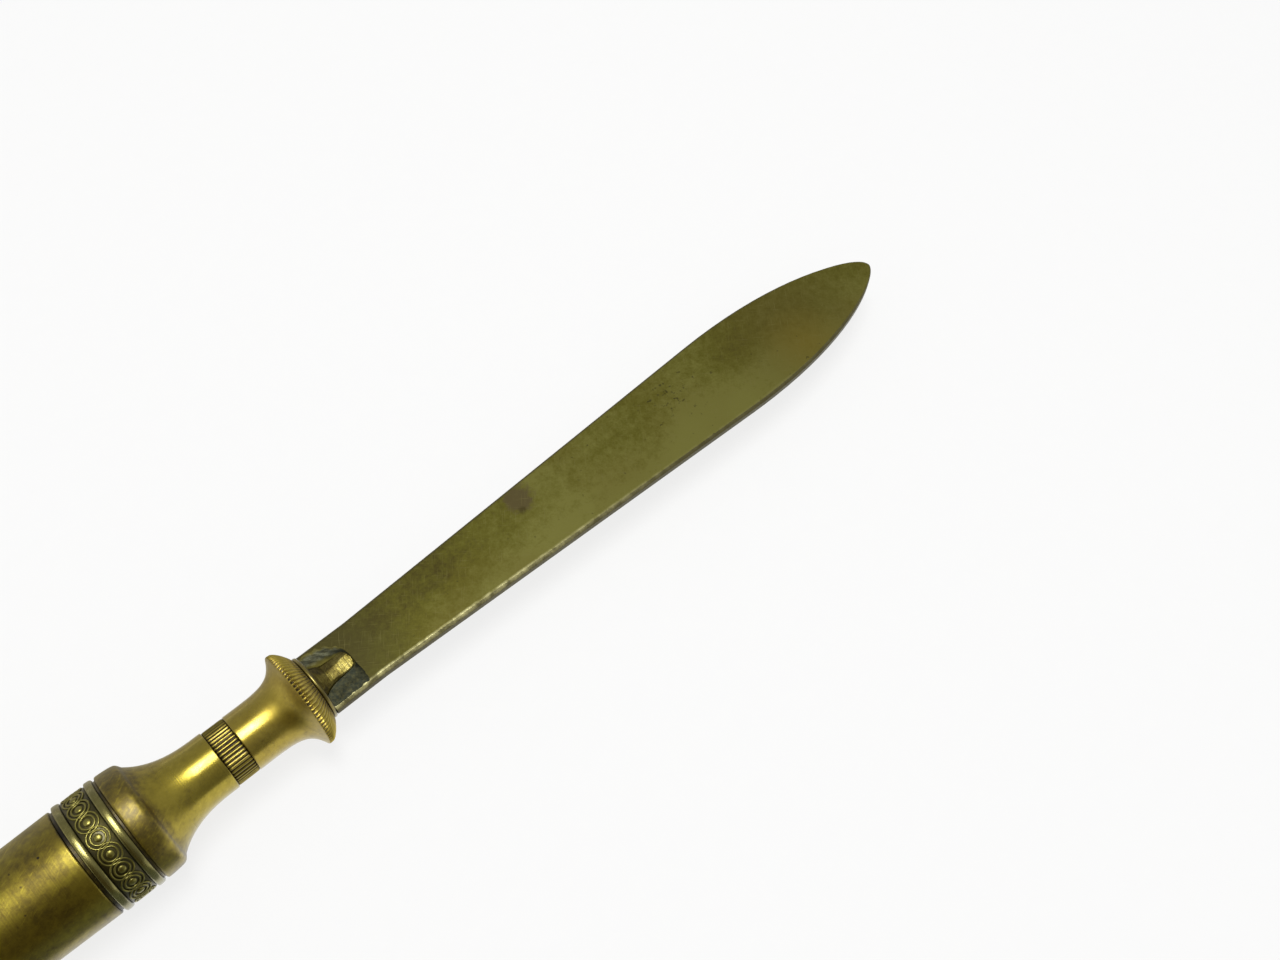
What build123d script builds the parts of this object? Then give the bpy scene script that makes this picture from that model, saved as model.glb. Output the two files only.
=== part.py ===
from build123d import *
from math import cos, pi, radians, sin, sqrt
import os

# Letter opener: a flat brass leaf blade soldered into the slotted end of a rod, and a handle of
# turned and spun brass pieces threaded on that rod, drawn tight between the rod's tongue and the
# tail cap. X runs from the tail to the tip and Z is up through the blade's faces. The origin is
# the middle of the length, on the surface that the widest bands lie on. Millimetres.

os.makedirs("parts", exist_ok=True)

# Fits
fit_gap = 0.03              # between a spigot or rod and its bore
end_gap = 0.1               # between the end of a spigot or tang and the bottom of its socket

# Blade
root_length = 8.0           # parallel stretch in front of the shoulders
taper_length = 68.0         # straight widening from the root to the belly
point_length = 35.5         # curved stretch from the belly to the tip
root_width = 9.75
belly_width = 15.5          # where the straight widening ends
blade_thickness = 1.8
blade_edge = 0.4            # softened edge all round the blade
tip_pull = 11.6             # how far behind the tip the straight edges stop steering the curve
tip_bluntness = 2.0         # how far the point's curve runs square to the axis at the tip
tang_width = 3.0
tang_length = 8.0

# Rod with its slotted tongue
rod_radius = 1.8
thread_radius = 1.4
thread_length = 4.5
tongue_length = 5.8
tongue_root_radius = 2.7
tongue_flare_length = 1.2
tongue_radius = 2.15
tongue_nose_radius = 1.85
tongue_nose_length = 0.9     # bevel at the tip of the tongue
tongue_tip_radius = 1.3

# Solder round the tongue, on both faces of the blade
solder_half_width = 4.0
solder_reach = 7.2
solder_thickness = 0.25
solder_gap = 0.05           # between the solder and the tongue's sides

# Mouth plate between the front bell and the blade's shoulders
lip_radius = 4.85
lip_width = 0.65
lip_groove_radius = 4.4
lip_groove_width = 0.35

# Front bell with its milled rim
bell_neck_radius = 4.24
bell_rim_radius = 7.15
bell_flare_length = 8.95
bell_neck_length = 2.6      # straight stretch before the flare
bell_straight = 3.9         # how far the flare starts out along the neck
bell_flare_pull = 2.5       # how far the flare's last slope reaches back
bell_flare_angle = 61.0
milled_length = 1.95
milled_front_radius = 4.95
milled_bulge = 0.3
tooth_count = 74
tooth_depth = 0.2
rim_step = 0.25             # how far the teeth stand above the flare's edge

# Fluted ring
fluted_length = 3.2
fluted_radius = 4.17
flute_count = 46
flute_depth = 0.17

# Shoulder bell: a trumpet that ends in a rounded cushion
trumpet_length = 9.95
trumpet_front_radius = 4.34
trumpet_neck_length = 1.6
trumpet_straight = 2.9
trumpet_flare_pull = 3.2
trumpet_flare_angle = 40.0
crease_radius = 6.95
cushion_length = 3.05
cushion_radius = 7.85
cushion_turn_length = 1.5   # from the crease to where the cushion's slope eases
cushion_turn_radius = 7.58
shoulder_groove_width = 0.4
shoulder_groove_radius = 7.45

# Bands round the handle
band_radius = 7.95
band_width = 1.15
frieze_width = 3.3
frieze_radius = 7.7         # to the middle of each flat, where a motif stands
motif_count = 20
motif_height = 0.17
motif_ring_radius = 0.95
motif_ring_sides = 8
motif_ring_wall = 0.25
motif_dot_radius = 0.42
motif_dot_sides = 6

# Sleeve under the bands
sleeve_radius = 6.85
sleeve_bore_radius = 5.6
sleeve_shoulder_length = 2.4  # inside the shoulder bell
sleeve_tube_length = 6.0    # inside the tube

# Handle tube
tube_length = 49.4
tube_front_radius = 7.74
tube_tail_radius = 6.6
tube_wall = 0.7             # at the tail
tube_groove_width = 0.4
tube_groove_radius = 7.4

# Tail cap
cap_radius = 6.9
cap_length = 5.0
cap_bevel = 1.0             # round the flat end
cap_spigot_length = 3.0     # inside the tube

# Stations along the axis
blade_length = root_length + taper_length + point_length
mouth_width = lip_width + lip_groove_width
bell_length = bell_flare_length + milled_length
shoulder_length = trumpet_length + cushion_length + shoulder_groove_width
handle_length = (
    cap_length + tube_length + 2 * band_width + frieze_width
    + shoulder_length + fluted_length + bell_length + mouth_width
)
total_length = handle_length + blade_length
tail_x = -total_length / 2
tube_tail_x = tail_x + cap_length
cap_spigot_x = tube_tail_x + cap_spigot_length
tube_front_x = tube_tail_x + tube_length
frieze_x = tube_front_x + band_width
front_band_x = frieze_x + frieze_width
shoulder_x = front_band_x + band_width
crease_x = shoulder_x + shoulder_groove_width + cushion_length
fluted_x = shoulder_x + shoulder_length
bell_x = fluted_x + fluted_length
rim_x = bell_x + bell_flare_length
mouth_x = bell_x + bell_length
blade_x = mouth_x + mouth_width
axis_height = max(band_radius, bell_rim_radius, cap_radius)

# Sizes that two pieces share
band_bore = sleeve_radius + fit_gap
tube_tail_bore = tube_tail_radius - tube_wall
cap_spigot_radius = tube_tail_bore - 2 * fit_gap

# Planes and axis shared by the turned pieces
spin_axis = Axis((0, 0, axis_height), (1, 0, 0))
profile_plane = Plane(origin=(0, 0, axis_height), x_dir=(1, 0, 0), z_dir=(0, -1, 0))
tongue_plane = Plane(origin=(blade_x, 0, axis_height), x_dir=(1, 0, 0), z_dir=(0, -1, 0))
blade_plane = Plane(origin=(blade_x, 0, axis_height))


def cross_plane(x):
    return Plane(origin=(x, 0, axis_height), x_dir=(0, 1, 0), z_dir=(1, 0, 0))


def slope(length, degrees):
    angle = radians(degrees)
    return length * cos(angle), length * sin(angle)


# Ring-shaped section of a plain band
def ring_section(x, bore_radius, radius):
    with BuildSketch(cross_plane(x)) as section:
        Circle(radius)
        Circle(bore_radius, mode=Mode.SUBTRACT)
    return section.sketch


# Star-shaped section of a milled or fluted piece
def toothed_section(x, count, crest_radius, depth):
    points = []
    for step in range(2 * count):
        radius = crest_radius - depth * (step % 2)
        angle = pi * step / count
        points.append((radius * cos(angle), radius * sin(angle)))
    with BuildSketch(cross_plane(x)) as section:
        Polygon(*points, align=None)
    return section.sketch


# Half of the tongue's outline, from the flare at its root to the bevel at its tip
def tongue_half(plane, root, body, nose, tip, length):
    with BuildSketch(plane) as half:
        with BuildLine():
            Polyline(
                (0, 0),
                (0, root),
                (tongue_flare_length, body),
                (length - tongue_nose_length, nose),
                (length, tip),
                (length, 0),
                close=True,
            )
        make_face()
    return half.sketch


# Half the width of a rod of this radius where it comes out of the blade's face, with the gap
def seam_half_width(radius):
    return sqrt(radius**2 - (blade_thickness / 2) ** 2) + solder_gap


# Blade: parallel root, straight taper, rounded point, and a narrow tang behind the shoulders
with BuildPart() as blade:
    belly_x = root_length + taper_length
    widening = (belly_width - root_width) / 2 / taper_length
    with BuildSketch(blade_plane):
        with BuildLine():
            Polyline(
                (-tang_length, 0),
                (-tang_length, tang_width / 2),
                (0, tang_width / 2),
                (0, root_width / 2),
                (root_length, root_width / 2),
                (belly_x, belly_width / 2),
            )
            Bezier(
                (belly_x, belly_width / 2),
                (blade_length - tip_pull, belly_width / 2 + (point_length - tip_pull) * widening),
                (blade_length, tip_bluntness),
                (blade_length, 0),
            )
            mirror(about=Plane.XZ)
        make_face()
    extrude(amount=blade_thickness / 2, both=True)
    rims = blade.faces().filter_by(Axis.Z).edges()
    chamfer(rims.filter_by(lambda rim: rim.center().X > blade_x + fit_gap), blade_edge)
blade.part.label = "blade"
export_step(blade.part, "parts/blade.step")

# Rod: plain shank through the whole handle, threaded tail, and a tongue slotted for the blade
with BuildPart() as tang_rod:
    with BuildSketch(profile_plane):
        with BuildLine():
            Polyline(
                (cap_spigot_x - thread_length, 0),
                (cap_spigot_x - thread_length, thread_radius),
                (cap_spigot_x, thread_radius),
                (cap_spigot_x, rod_radius),
                (blade_x, rod_radius),
                (blade_x, 0),
                close=True,
            )
        make_face()
    revolve(axis=spin_axis)
    tongue = tongue_half(
        tongue_plane,
        tongue_root_radius,
        tongue_radius,
        tongue_nose_radius,
        tongue_tip_radius,
        tongue_length,
    )
    revolve(tongue, axis=spin_axis)
    slot_back_x = blade_x - tang_length - end_gap
    with BuildSketch(Plane.XZ.offset(-tongue_root_radius)):
        with Locations(((slot_back_x + blade_x + tongue_length) / 2, axis_height)):
            Rectangle(blade_x + tongue_length - slot_back_x, blade_thickness + 2 * fit_gap)
    extrude(amount=2 * tongue_root_radius, mode=Mode.SUBTRACT)
tang_rod.part.label = "tang_rod"
export_step(tang_rod.part, "parts/tang_rod.step")

# Solder: a thin run round the tongue, the same on both faces
with BuildPart() as solder_seam:
    face_plane = blade_plane.offset(blade_thickness / 2)
    with BuildSketch(face_plane):
        Ellipse(solder_reach, solder_half_width)
        with Locations((-solder_reach / 2, 0)):
            Rectangle(solder_reach, 2 * solder_half_width, mode=Mode.SUBTRACT)
        with Locations((solder_reach / 2, -solder_half_width / 2)):
            Rectangle(solder_reach, solder_half_width, mode=Mode.SUBTRACT)
    extrude(amount=solder_thickness)
    seam = tongue_half(
        face_plane,
        seam_half_width(tongue_root_radius),
        seam_half_width(tongue_radius),
        seam_half_width(tongue_nose_radius),
        seam_half_width(tongue_tip_radius),
        tongue_length + solder_gap,
    )
    extrude(seam, amount=solder_thickness, mode=Mode.SUBTRACT)
    mirror(about=Plane.XZ)
    mirror(about=blade_plane)
solder_seam.part.label = "solder_seam"
export_step(solder_seam.part, "parts/solder_seam.step")

# Mouth plate: a groove against the bell, and the bright lip that the blade's shoulders meet
with BuildPart() as mouth_plate:
    extrude(ring_section(mouth_x, rod_radius + fit_gap, lip_groove_radius), amount=lip_groove_width)
    extrude(ring_section(blade_x, rod_radius + fit_gap, lip_radius), amount=-lip_width)
mouth_plate.part.label = "mouth_plate"
export_step(mouth_plate.part, "parts/mouth_plate.step")

# Front bell: trumpet flare, then teeth that stand proud of it on a slope that falls to the mouth
with BuildPart() as front_bell:
    flare_dx, flare_dr = slope(bell_flare_pull, bell_flare_angle)
    flare_end_radius = bell_rim_radius - rim_step
    with BuildSketch(profile_plane):
        with BuildLine():
            Bezier(
                (bell_x + bell_neck_length, bell_neck_radius),
                (bell_x + bell_neck_length + bell_straight, bell_neck_radius),
                (rim_x - flare_dx, flare_end_radius - flare_dr),
                (rim_x, flare_end_radius),
            )
            Polyline(
                (rim_x, flare_end_radius),
                (rim_x, 0),
                (bell_x, 0),
                (bell_x, bell_neck_radius),
                (bell_x + bell_neck_length, bell_neck_radius),
            )
        make_face()
    revolve(axis=spin_axis)
    milled_middle_radius = (bell_rim_radius + milled_front_radius) / 2 + milled_bulge
    teeth = [
        toothed_section(rim_x, tooth_count, bell_rim_radius, tooth_depth),
        toothed_section(rim_x + milled_length / 2, tooth_count, milled_middle_radius, tooth_depth),
        toothed_section(mouth_x, tooth_count, milled_front_radius, tooth_depth),
    ]
    loft(teeth, ruled=True)
    with BuildSketch(cross_plane(bell_x)):
        Circle(rod_radius + fit_gap)
    extrude(amount=bell_length, mode=Mode.SUBTRACT)
front_bell.part.label = "front_bell"
export_step(front_bell.part, "parts/front_bell.step")

# Fluted ring: straight flutes all the way along, set in between the two bells
with BuildPart() as fluted_ring:
    flutes = toothed_section(fluted_x, flute_count, fluted_radius, flute_depth)
    extrude(flutes, amount=fluted_length)
    with BuildSketch(cross_plane(fluted_x)):
        Circle(rod_radius + fit_gap)
    extrude(amount=fluted_length, mode=Mode.SUBTRACT)
fluted_ring.part.label = "fluted_ring"
export_step(fluted_ring.part, "parts/fluted_ring.step")

# Shoulder bell: trumpet, crease and cushion outside, with a socket for the sleeve behind
with BuildPart() as shoulder_bell:
    flare_dx, flare_dr = slope(trumpet_flare_pull, trumpet_flare_angle)
    cushion_x = shoulder_x + shoulder_groove_width
    socket_x = shoulder_x + sleeve_shoulder_length + end_gap
    with BuildSketch(profile_plane):
        with BuildLine():
            Bezier(
                (fluted_x - trumpet_neck_length, trumpet_front_radius),
                (fluted_x - trumpet_neck_length - trumpet_straight, trumpet_front_radius),
                (crease_x + flare_dx, crease_radius - flare_dr),
                (crease_x, crease_radius),
            )
            Polyline(
                (crease_x, crease_radius),
                (crease_x - cushion_turn_length, cushion_turn_radius),
                (cushion_x, cushion_radius),
                (cushion_x, shoulder_groove_radius),
                (shoulder_x, shoulder_groove_radius),
                (shoulder_x, band_bore),
                (socket_x, band_bore),
                (socket_x, rod_radius + fit_gap),
                (fluted_x, rod_radius + fit_gap),
                (fluted_x, trumpet_front_radius),
                (fluted_x - trumpet_neck_length, trumpet_front_radius),
            )
        make_face()
    revolve(axis=spin_axis)
shoulder_bell.part.label = "shoulder_bell"
export_step(shoulder_bell.part, "parts/shoulder_bell.step")

# Plain bands on each side of the frieze
with BuildPart() as front_band:
    extrude(ring_section(front_band_x, band_bore, band_radius), amount=band_width)
front_band.part.label = "front_band"
export_step(front_band.part, "parts/front_band.step")

with BuildPart() as rear_band:
    extrude(ring_section(tube_front_x, band_bore, band_radius), amount=band_width)
rear_band.part.label = "rear_band"
export_step(rear_band.part, "parts/rear_band.step")

# Frieze: a flat for each motif, with a ring and a dot standing on it
with BuildPart() as frieze_band:
    motif_step = 2 * pi / motif_count
    motif_planes = []
    for motif in range(motif_count):
        angle = motif * motif_step
        outward = Vector(0, cos(angle), sin(angle))
        middle = Vector(frieze_x + frieze_width / 2, 0, axis_height)
        motif_planes.append(Plane(middle + outward * frieze_radius, x_dir=(1, 0, 0), z_dir=outward))
    with BuildSketch(cross_plane(frieze_x)):
        RegularPolygon(frieze_radius, motif_count, major_radius=False, rotation=180 / motif_count)
        Circle(band_bore, mode=Mode.SUBTRACT)
    extrude(amount=frieze_width)
    with BuildSketch(*motif_planes):
        RegularPolygon(motif_ring_radius, motif_ring_sides)
        RegularPolygon(motif_ring_radius - motif_ring_wall, motif_ring_sides, mode=Mode.SUBTRACT)
        RegularPolygon(motif_dot_radius, motif_dot_sides)
    extrude(amount=motif_height)
frieze_band.part.label = "frieze_band"
export_step(frieze_band.part, "parts/frieze_band.step")

# Sleeve: carries the three bands, and enters the shoulder in front and the tube behind
with BuildPart() as joint_sleeve:
    sleeve_x = tube_front_x - sleeve_tube_length
    sleeve_end_x = shoulder_x + sleeve_shoulder_length
    extrude(ring_section(sleeve_x, sleeve_bore_radius, sleeve_radius), amount=sleeve_end_x - sleeve_x)
joint_sleeve.part.label = "joint_sleeve"
export_step(joint_sleeve.part, "parts/joint_sleeve.step")

# Handle tube: slow taper to the tail, a groove next to the rear band, and a seat for the sleeve
with BuildPart() as handle_tube:
    seat_x = tube_front_x - sleeve_tube_length - end_gap
    with BuildSketch(profile_plane):
        with BuildLine():
            Polyline(
                (tube_tail_x, tube_tail_bore),
                (tube_tail_x, tube_tail_radius),
                (tube_front_x - tube_groove_width, tube_front_radius),
                (tube_front_x - tube_groove_width, tube_groove_radius),
                (tube_front_x, tube_groove_radius),
                (tube_front_x, band_bore),
                (seat_x, band_bore),
                (seat_x, tube_tail_bore),
                close=True,
            )
        make_face()
    revolve(axis=spin_axis)
handle_tube.part.label = "handle_tube"
export_step(handle_tube.part, "parts/handle_tube.step")

# Tail cap: bevelled end, a spigot in the tube, and a blind bore that screws onto the rod
with BuildPart() as tail_cap:
    bore_end_x = cap_spigot_x - thread_length - end_gap
    with BuildSketch(profile_plane):
        with BuildLine():
            Polyline(
                (tail_x, 0),
                (tail_x, cap_radius - cap_bevel),
                (tail_x + cap_bevel, cap_radius),
                (tube_tail_x, cap_radius),
                (tube_tail_x, cap_spigot_radius),
                (cap_spigot_x, cap_spigot_radius),
                (cap_spigot_x, thread_radius + fit_gap),
                (bore_end_x, thread_radius + fit_gap),
                (bore_end_x, 0),
                close=True,
            )
        make_face()
    revolve(axis=spin_axis)
tail_cap.part.label = "tail_cap"
export_step(tail_cap.part, "parts/tail_cap.step")
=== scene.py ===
from math import atan2, cos, hypot, pi, radians, sin

import bpy
from mathutils import Matrix, Vector, noise


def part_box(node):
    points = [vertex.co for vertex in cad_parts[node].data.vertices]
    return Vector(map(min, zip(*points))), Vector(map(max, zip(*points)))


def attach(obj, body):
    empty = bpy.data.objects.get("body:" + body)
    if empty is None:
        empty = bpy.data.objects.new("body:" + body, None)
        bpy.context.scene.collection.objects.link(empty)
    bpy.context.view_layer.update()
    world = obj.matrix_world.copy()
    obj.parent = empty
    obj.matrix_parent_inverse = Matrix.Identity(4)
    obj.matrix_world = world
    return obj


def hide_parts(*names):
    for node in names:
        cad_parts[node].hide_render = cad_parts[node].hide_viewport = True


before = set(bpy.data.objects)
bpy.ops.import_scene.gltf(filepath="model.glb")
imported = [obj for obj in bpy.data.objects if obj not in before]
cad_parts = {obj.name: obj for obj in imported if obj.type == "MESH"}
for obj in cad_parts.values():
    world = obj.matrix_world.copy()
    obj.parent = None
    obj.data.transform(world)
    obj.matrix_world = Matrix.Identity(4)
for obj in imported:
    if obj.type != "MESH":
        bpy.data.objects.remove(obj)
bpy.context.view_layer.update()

mm = 0.001
axisHeight = 7.95  # mm from the table up to the axis of the handle
print("frame loaded:", len(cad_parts), "solids")


def linear(hexColour):
    channels = [int(hexColour[i:i + 2], 16) / 255 for i in (1, 3, 5)]
    return [c / 12.92 if c <= 0.04045 else ((c + 0.055) / 1.055) ** 2.4 for c in channels] + [1.0]


def addNode(tree, kind, settings=None, links=None):
    node = tree.nodes.new(kind)
    for key, value in (settings or {}).items():
        if key == "stops":  # places and colours of a colour ramp
            while len(node.color_ramp.elements) < len(value):
                node.color_ramp.elements.new(1.0)
            for stop, (place, colour) in zip(node.color_ramp.elements, value):
                stop.position = place
                stop.color = linear(colour)
        elif isinstance(key, int) or key in node.inputs:
            node.inputs[key].default_value = value
        else:
            setattr(node, key, value)
    for key, source in (links or {}).items():  # a node stands for its first output
        tree.links.new(source.outputs[0] if isinstance(source, bpy.types.Node) else source, node.inputs[key])
    return node


def startMaterial(name):
    material = bpy.data.materials.new(name)
    material.use_nodes = True
    material.node_tree.nodes.clear()
    return material, material.node_tree


# Turned or spun brass, handled for decades: olive-gold, fine rings from the lathe, brown tarnish in soft
# patches, dark dirt in every hollow. The eye sees a clear soft highlight that breaks up a little. Its thin
# film of old lacquer and wax gives that highlight a white core. On the bell's rim and on the tongue the colour
# also carries painted highlight, and painted shade darkens the tongue's root.
brass = {
    "speckSize": (0.04, 0.12), "speckFade": 0.06, "speckDark": 0.5, "ringAcross": 30.0, "hollowDark": 0.8,
    "strokeTurn": (0.5, 0.3, radians(38)), "strokeMm": (2.4, 0.16, 0.6), "strokeCut": (0.6, 0.78),
    "filmDuller": 0.03, "mottleRise": 0.35,
}


def turnedBrass(name, look):
    material, tree = startMaterial(name)
    place = addNode(tree, "ShaderNodeTexCoord").outputs["Object"]
    axes = addNode(tree, "ShaderNodeSeparateXYZ", None, {0: place})
    patches = addNode(tree, "ShaderNodeTexNoise", {"Scale": 1000 / look["patchMm"], "Detail": 3.0, "Roughness": 0.55},
                      {"Vector": place})
    mottle = addNode(tree, "ShaderNodeTexNoise", {"Scale": 1000 / look["mottleMm"], "Detail": 5.0, "Roughness": 0.65},
                     {"Vector": place})
    along = addNode(tree, "ShaderNodeMapping",
                    {"Scale": (1000 / look["ringMm"], brass["ringAcross"], brass["ringAcross"])}, {"Vector": place})
    rings = addNode(tree, "ShaderNodeTexNoise", {"Scale": 1.0, "Detail": 2.0, "Roughness": 0.5}, {"Vector": along})
    pits = addNode(tree, "ShaderNodeTexVoronoi", {"Scale": 1000 / look["speckMm"], "Randomness": 1.0},
                   {"Vector": place})
    speck = addNode(tree, "ShaderNodeMapRange",
                    {"From Min": brass["speckSize"][0], "From Max": brass["speckSize"][1], "To Min": 1.0,
                     "To Max": 0.0}, {"Value": pits.outputs["Distance"]})
    rare = addNode(tree, "ShaderNodeMapRange",
                   {"From Min": look["speckRare"], "From Max": look["speckRare"] + brass["speckFade"]},
                   {"Value": patches})
    speckled = addNode(tree, "ShaderNodeMath", {"operation": "MULTIPLY"}, {0: speck, 1: rare})
    hollow = addNode(tree, "ShaderNodeAttribute", {"attribute_name": "hollow"})
    broad = addNode(tree, "ShaderNodeMath",
                    {"operation": "MULTIPLY_ADD", 1: look["patchDepth"], 2: -0.5 * look["patchDepth"]}, {0: patches})
    fine = addNode(tree, "ShaderNodeMath", {"operation": "MULTIPLY_ADD", 1: look["mottleDepth"]},
                   {0: mottle, 2: broad})
    drawn = addNode(tree, "ShaderNodeMapping",
                    {"vector_type": "TEXTURE", "Rotation": brass["strokeTurn"],
                     "Scale": Vector(brass["strokeMm"]) * mm}, {"Vector": place})
    strokes = addNode(tree, "ShaderNodeTexNoise", {"Scale": 1.0, "Detail": 2.0}, {"Vector": drawn})
    scratch = addNode(tree, "ShaderNodeMapRange",
                      {"From Min": brass["strokeCut"][0], "From Max": brass["strokeCut"][1],
                       "To Max": look["scratch"]}, {"Value": strokes})
    fine = addNode(tree, "ShaderNodeMath", {"operation": "SUBTRACT"}, {0: fine, 1: scratch})
    ageAndSheen = addNode(tree, "ShaderNodeMath", {"operation": "MULTIPLY_ADD", 1: brass["hollowDark"]},
                  {0: hollow.outputs["Fac"], 2: fine})
    # tone gradient along the axis: on the tongue it is painted shade at the root and painted highlight at the nose
    soilAndShade = addNode(tree, "ShaderNodeMapRange",
                   {"From Min": look["paintedShadeFrom"][0] * mm, "From Max": look["paintedShadeTo"][0] * mm,
                    "To Min": look["paintedShadeFrom"][1], "To Max": look["paintedShadeTo"][1]}, {"Value": axes.outputs["X"]})
    soiledAndShaded = addNode(tree, "ShaderNodeMath", {"operation": "ADD"}, {0: soilAndShade, 1: ageAndSheen})
    spotted = addNode(tree, "ShaderNodeMath", {"operation": "MULTIPLY_ADD", 1: brass["speckDark"], "use_clamp": True},
                      {0: speckled, 2: soiledAndShaded})
    colour = addNode(tree, "ShaderNodeValToRGB", {"stops": look["colours"]}, {"Fac": spotted})
    gloss = addNode(tree, "ShaderNodeMapRange",
                    {"From Min": look["glossFrom"][0] * mm, "From Max": look["glossTo"][0] * mm,
                     "To Min": look["glossFrom"][1], "To Max": look["glossTo"][1]}, {"Value": axes.outputs["X"]})
    dull = addNode(tree, "ShaderNodeMath", {"operation": "MULTIPLY_ADD", 1: look["dull"], "use_clamp": True},
                   {0: spotted, 2: gloss})
    filmed = addNode(tree, "ShaderNodeMath", {"operation": "ADD", 1: brass["filmDuller"]}, {0: gloss})
    ringed = addNode(tree, "ShaderNodeMath", {"operation": "MULTIPLY_ADD", 1: brass["mottleRise"]},
                     {0: mottle, 2: rings})
    relief = addNode(tree, "ShaderNodeBump", {"Strength": look["relief"], "Distance": look["reliefMm"] * mm},
                     {"Height": ringed})
    shader = addNode(tree, "ShaderNodeBsdfPrincipled", {"Metallic": 1.0, "Coat Weight": look["film"]},
                     {"Base Color": colour, "Roughness": dull, "Coat Roughness": filmed, "Normal": relief})
    addNode(tree, "ShaderNodeOutputMaterial", None, {"Surface": shader})
    return material


def finishPiece(piece, node, material):
    piece.data.materials.clear()
    piece.data.materials.append(material)
    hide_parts(node)
    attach(piece, "root")
    print("made", piece.name, len(piece.data.polygons), "faces")


# Turns a profile round the handle's axis. Rings are (x, radius, hollow) in mm, hollow is the dirt that lies there;
# a negative hollow makes the ring paler, partly rubbed bright and partly painted highlight.
def turnPiece(name, rings, columns, closed=True):
    bpy.ops.object.select_all(action="DESELECT")
    bpy.ops.mesh.primitive_circle_add(vertices=columns, radius=rings[0][1] * mm,
                                      location=(rings[0][0] * mm, 0, axisHeight * mm), rotation=(0, pi / 2, 0))
    piece = bpy.context.active_object
    piece.name = name
    piece.data.name = name
    bpy.ops.object.transform_apply(location=True, rotation=True, scale=True)
    bpy.ops.object.mode_set(mode="EDIT")
    bpy.ops.mesh.select_all(action="SELECT")
    path = rings + rings[:1] if closed else rings
    for here, there in zip(path, path[1:]):
        centre = (there[0] * mm, 0, axisHeight * mm)
        bpy.ops.mesh.extrude_edges_move(TRANSFORM_OT_translate={"value": ((there[0] - here[0]) * mm, 0, 0)})
        bpy.ops.transform.resize(value=(1, there[1] / here[1], there[1] / here[1]), center_override=centre)
    bpy.ops.mesh.select_all(action="SELECT")
    bpy.ops.mesh.remove_doubles(threshold=0.002 * mm)
    bpy.ops.mesh.normals_make_consistent(inside=False)
    bpy.ops.object.mode_set(mode="OBJECT")
    dirtAndSheen = piece.data.attributes.new("hollow", "FLOAT", "POINT")
    for vertex in piece.data.vertices:
        x, radius = vertex.co.x / mm, hypot(vertex.co.y, vertex.co.z - axisHeight * mm) / mm
        nearest = min(rings, key=lambda ring: hypot(ring[0] - x, ring[1] - radius))
        dirtAndSheen.data[vertex.index].value = nearest[2]
    return piece


def selectOnly(*pieces):
    bpy.ops.object.select_all(action="DESELECT")
    for piece in pieces:
        piece.select_set(True)
    bpy.context.view_layer.objects.active = pieces[0]


# Presses the valleys of teeth or flutes towards the axis. Steps are (columns, depth share) within one tooth.
def pressTeeth(piece, count, columns, steps, firstX, lastX, leastRadius, depth, crestRadius, soilAndShade, lean=0.0):
    perTooth = columns // count
    for column, share in steps:
        selectOnly(piece)
        bpy.ops.object.mode_set(mode="EDIT")
        bpy.ops.mesh.select_mode(type="VERT")
        bpy.ops.mesh.select_all(action="DESELECT")
        bpy.ops.object.mode_set(mode="OBJECT")
        dirtAndSheen = piece.data.attributes["hollow"]
        for vertex in piece.data.vertices:
            x, y, z = vertex.co.x / mm, vertex.co.y / mm, vertex.co.z / mm - axisHeight
            if not (firstX < x < lastX and hypot(y, z) > leastRadius):
                continue
            shift = lean * (x - firstX) / crestRadius
            place = round((atan2(z, y) + shift) / (2 * pi) * columns) % perTooth
            if place == column:
                vertex.select = True
                dirtAndSheen.data[vertex.index].value += share * soilAndShade
        bpy.ops.object.mode_set(mode="EDIT")
        factor = 1 - depth * share / crestRadius
        bpy.ops.transform.resize(value=(1, factor, factor), center_override=(0, 0, axisHeight * mm))
        bpy.ops.object.mode_set(mode="OBJECT")


def smoothPiece(piece, degrees):
    selectOnly(piece)
    bpy.ops.object.shade_smooth_by_angle(angle=radians(degrees))


def curvePoints(a, b, c, d, count):
    points = []
    for step in range(1, count + 1):
        t = step / count
        weights = ((1 - t) ** 3, 3 * t * (1 - t) ** 2, 3 * t * t * (1 - t), t ** 3)
        points.append(tuple(sum(w * p[i] for w, p in zip(weights, (a, b, c, d))) for i in (0, 1)))
    return points


# Front bell: neck, flare, blunt edge and leaning rounded teeth; edge and teeth are paler, partly rubbed bright and
# partly painted highlight
bell = {
    "columns": 74 * 8, "teeth": 74, "toothDepth": 0.28, "lean": 0.09, "teethX": (8.9, 11.18), "leastRadius": 5.1,
    "crestRadius": 6.6, "soilAndShade": 0.72, "smooth": 40,
    "look": {"patchMm": 7.0, "mottleMm": 0.7, "ringMm": 0.12, "speckMm": 1.7, "speckRare": 0.58, "patchDepth": 0.5,
             "mottleDepth": 0.6, "glossFrom": (-21.0, 0.18), "glossTo": (-14.8, 0.38), "dull": 0.25, "relief": 0.5,
             "film": 1.0, "reliefMm": 0.02, "paintedShadeFrom": (-100.0, 0.0), "paintedShadeTo": (100.0, 0.0), "scratch": 0.22,
             "colours": [(0.0, "#bea938"), (0.3, "#a79122"), (0.55, "#7f6a14"), (0.8, "#3c300b"), (1.0, "#1a1306")]},
}
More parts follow.
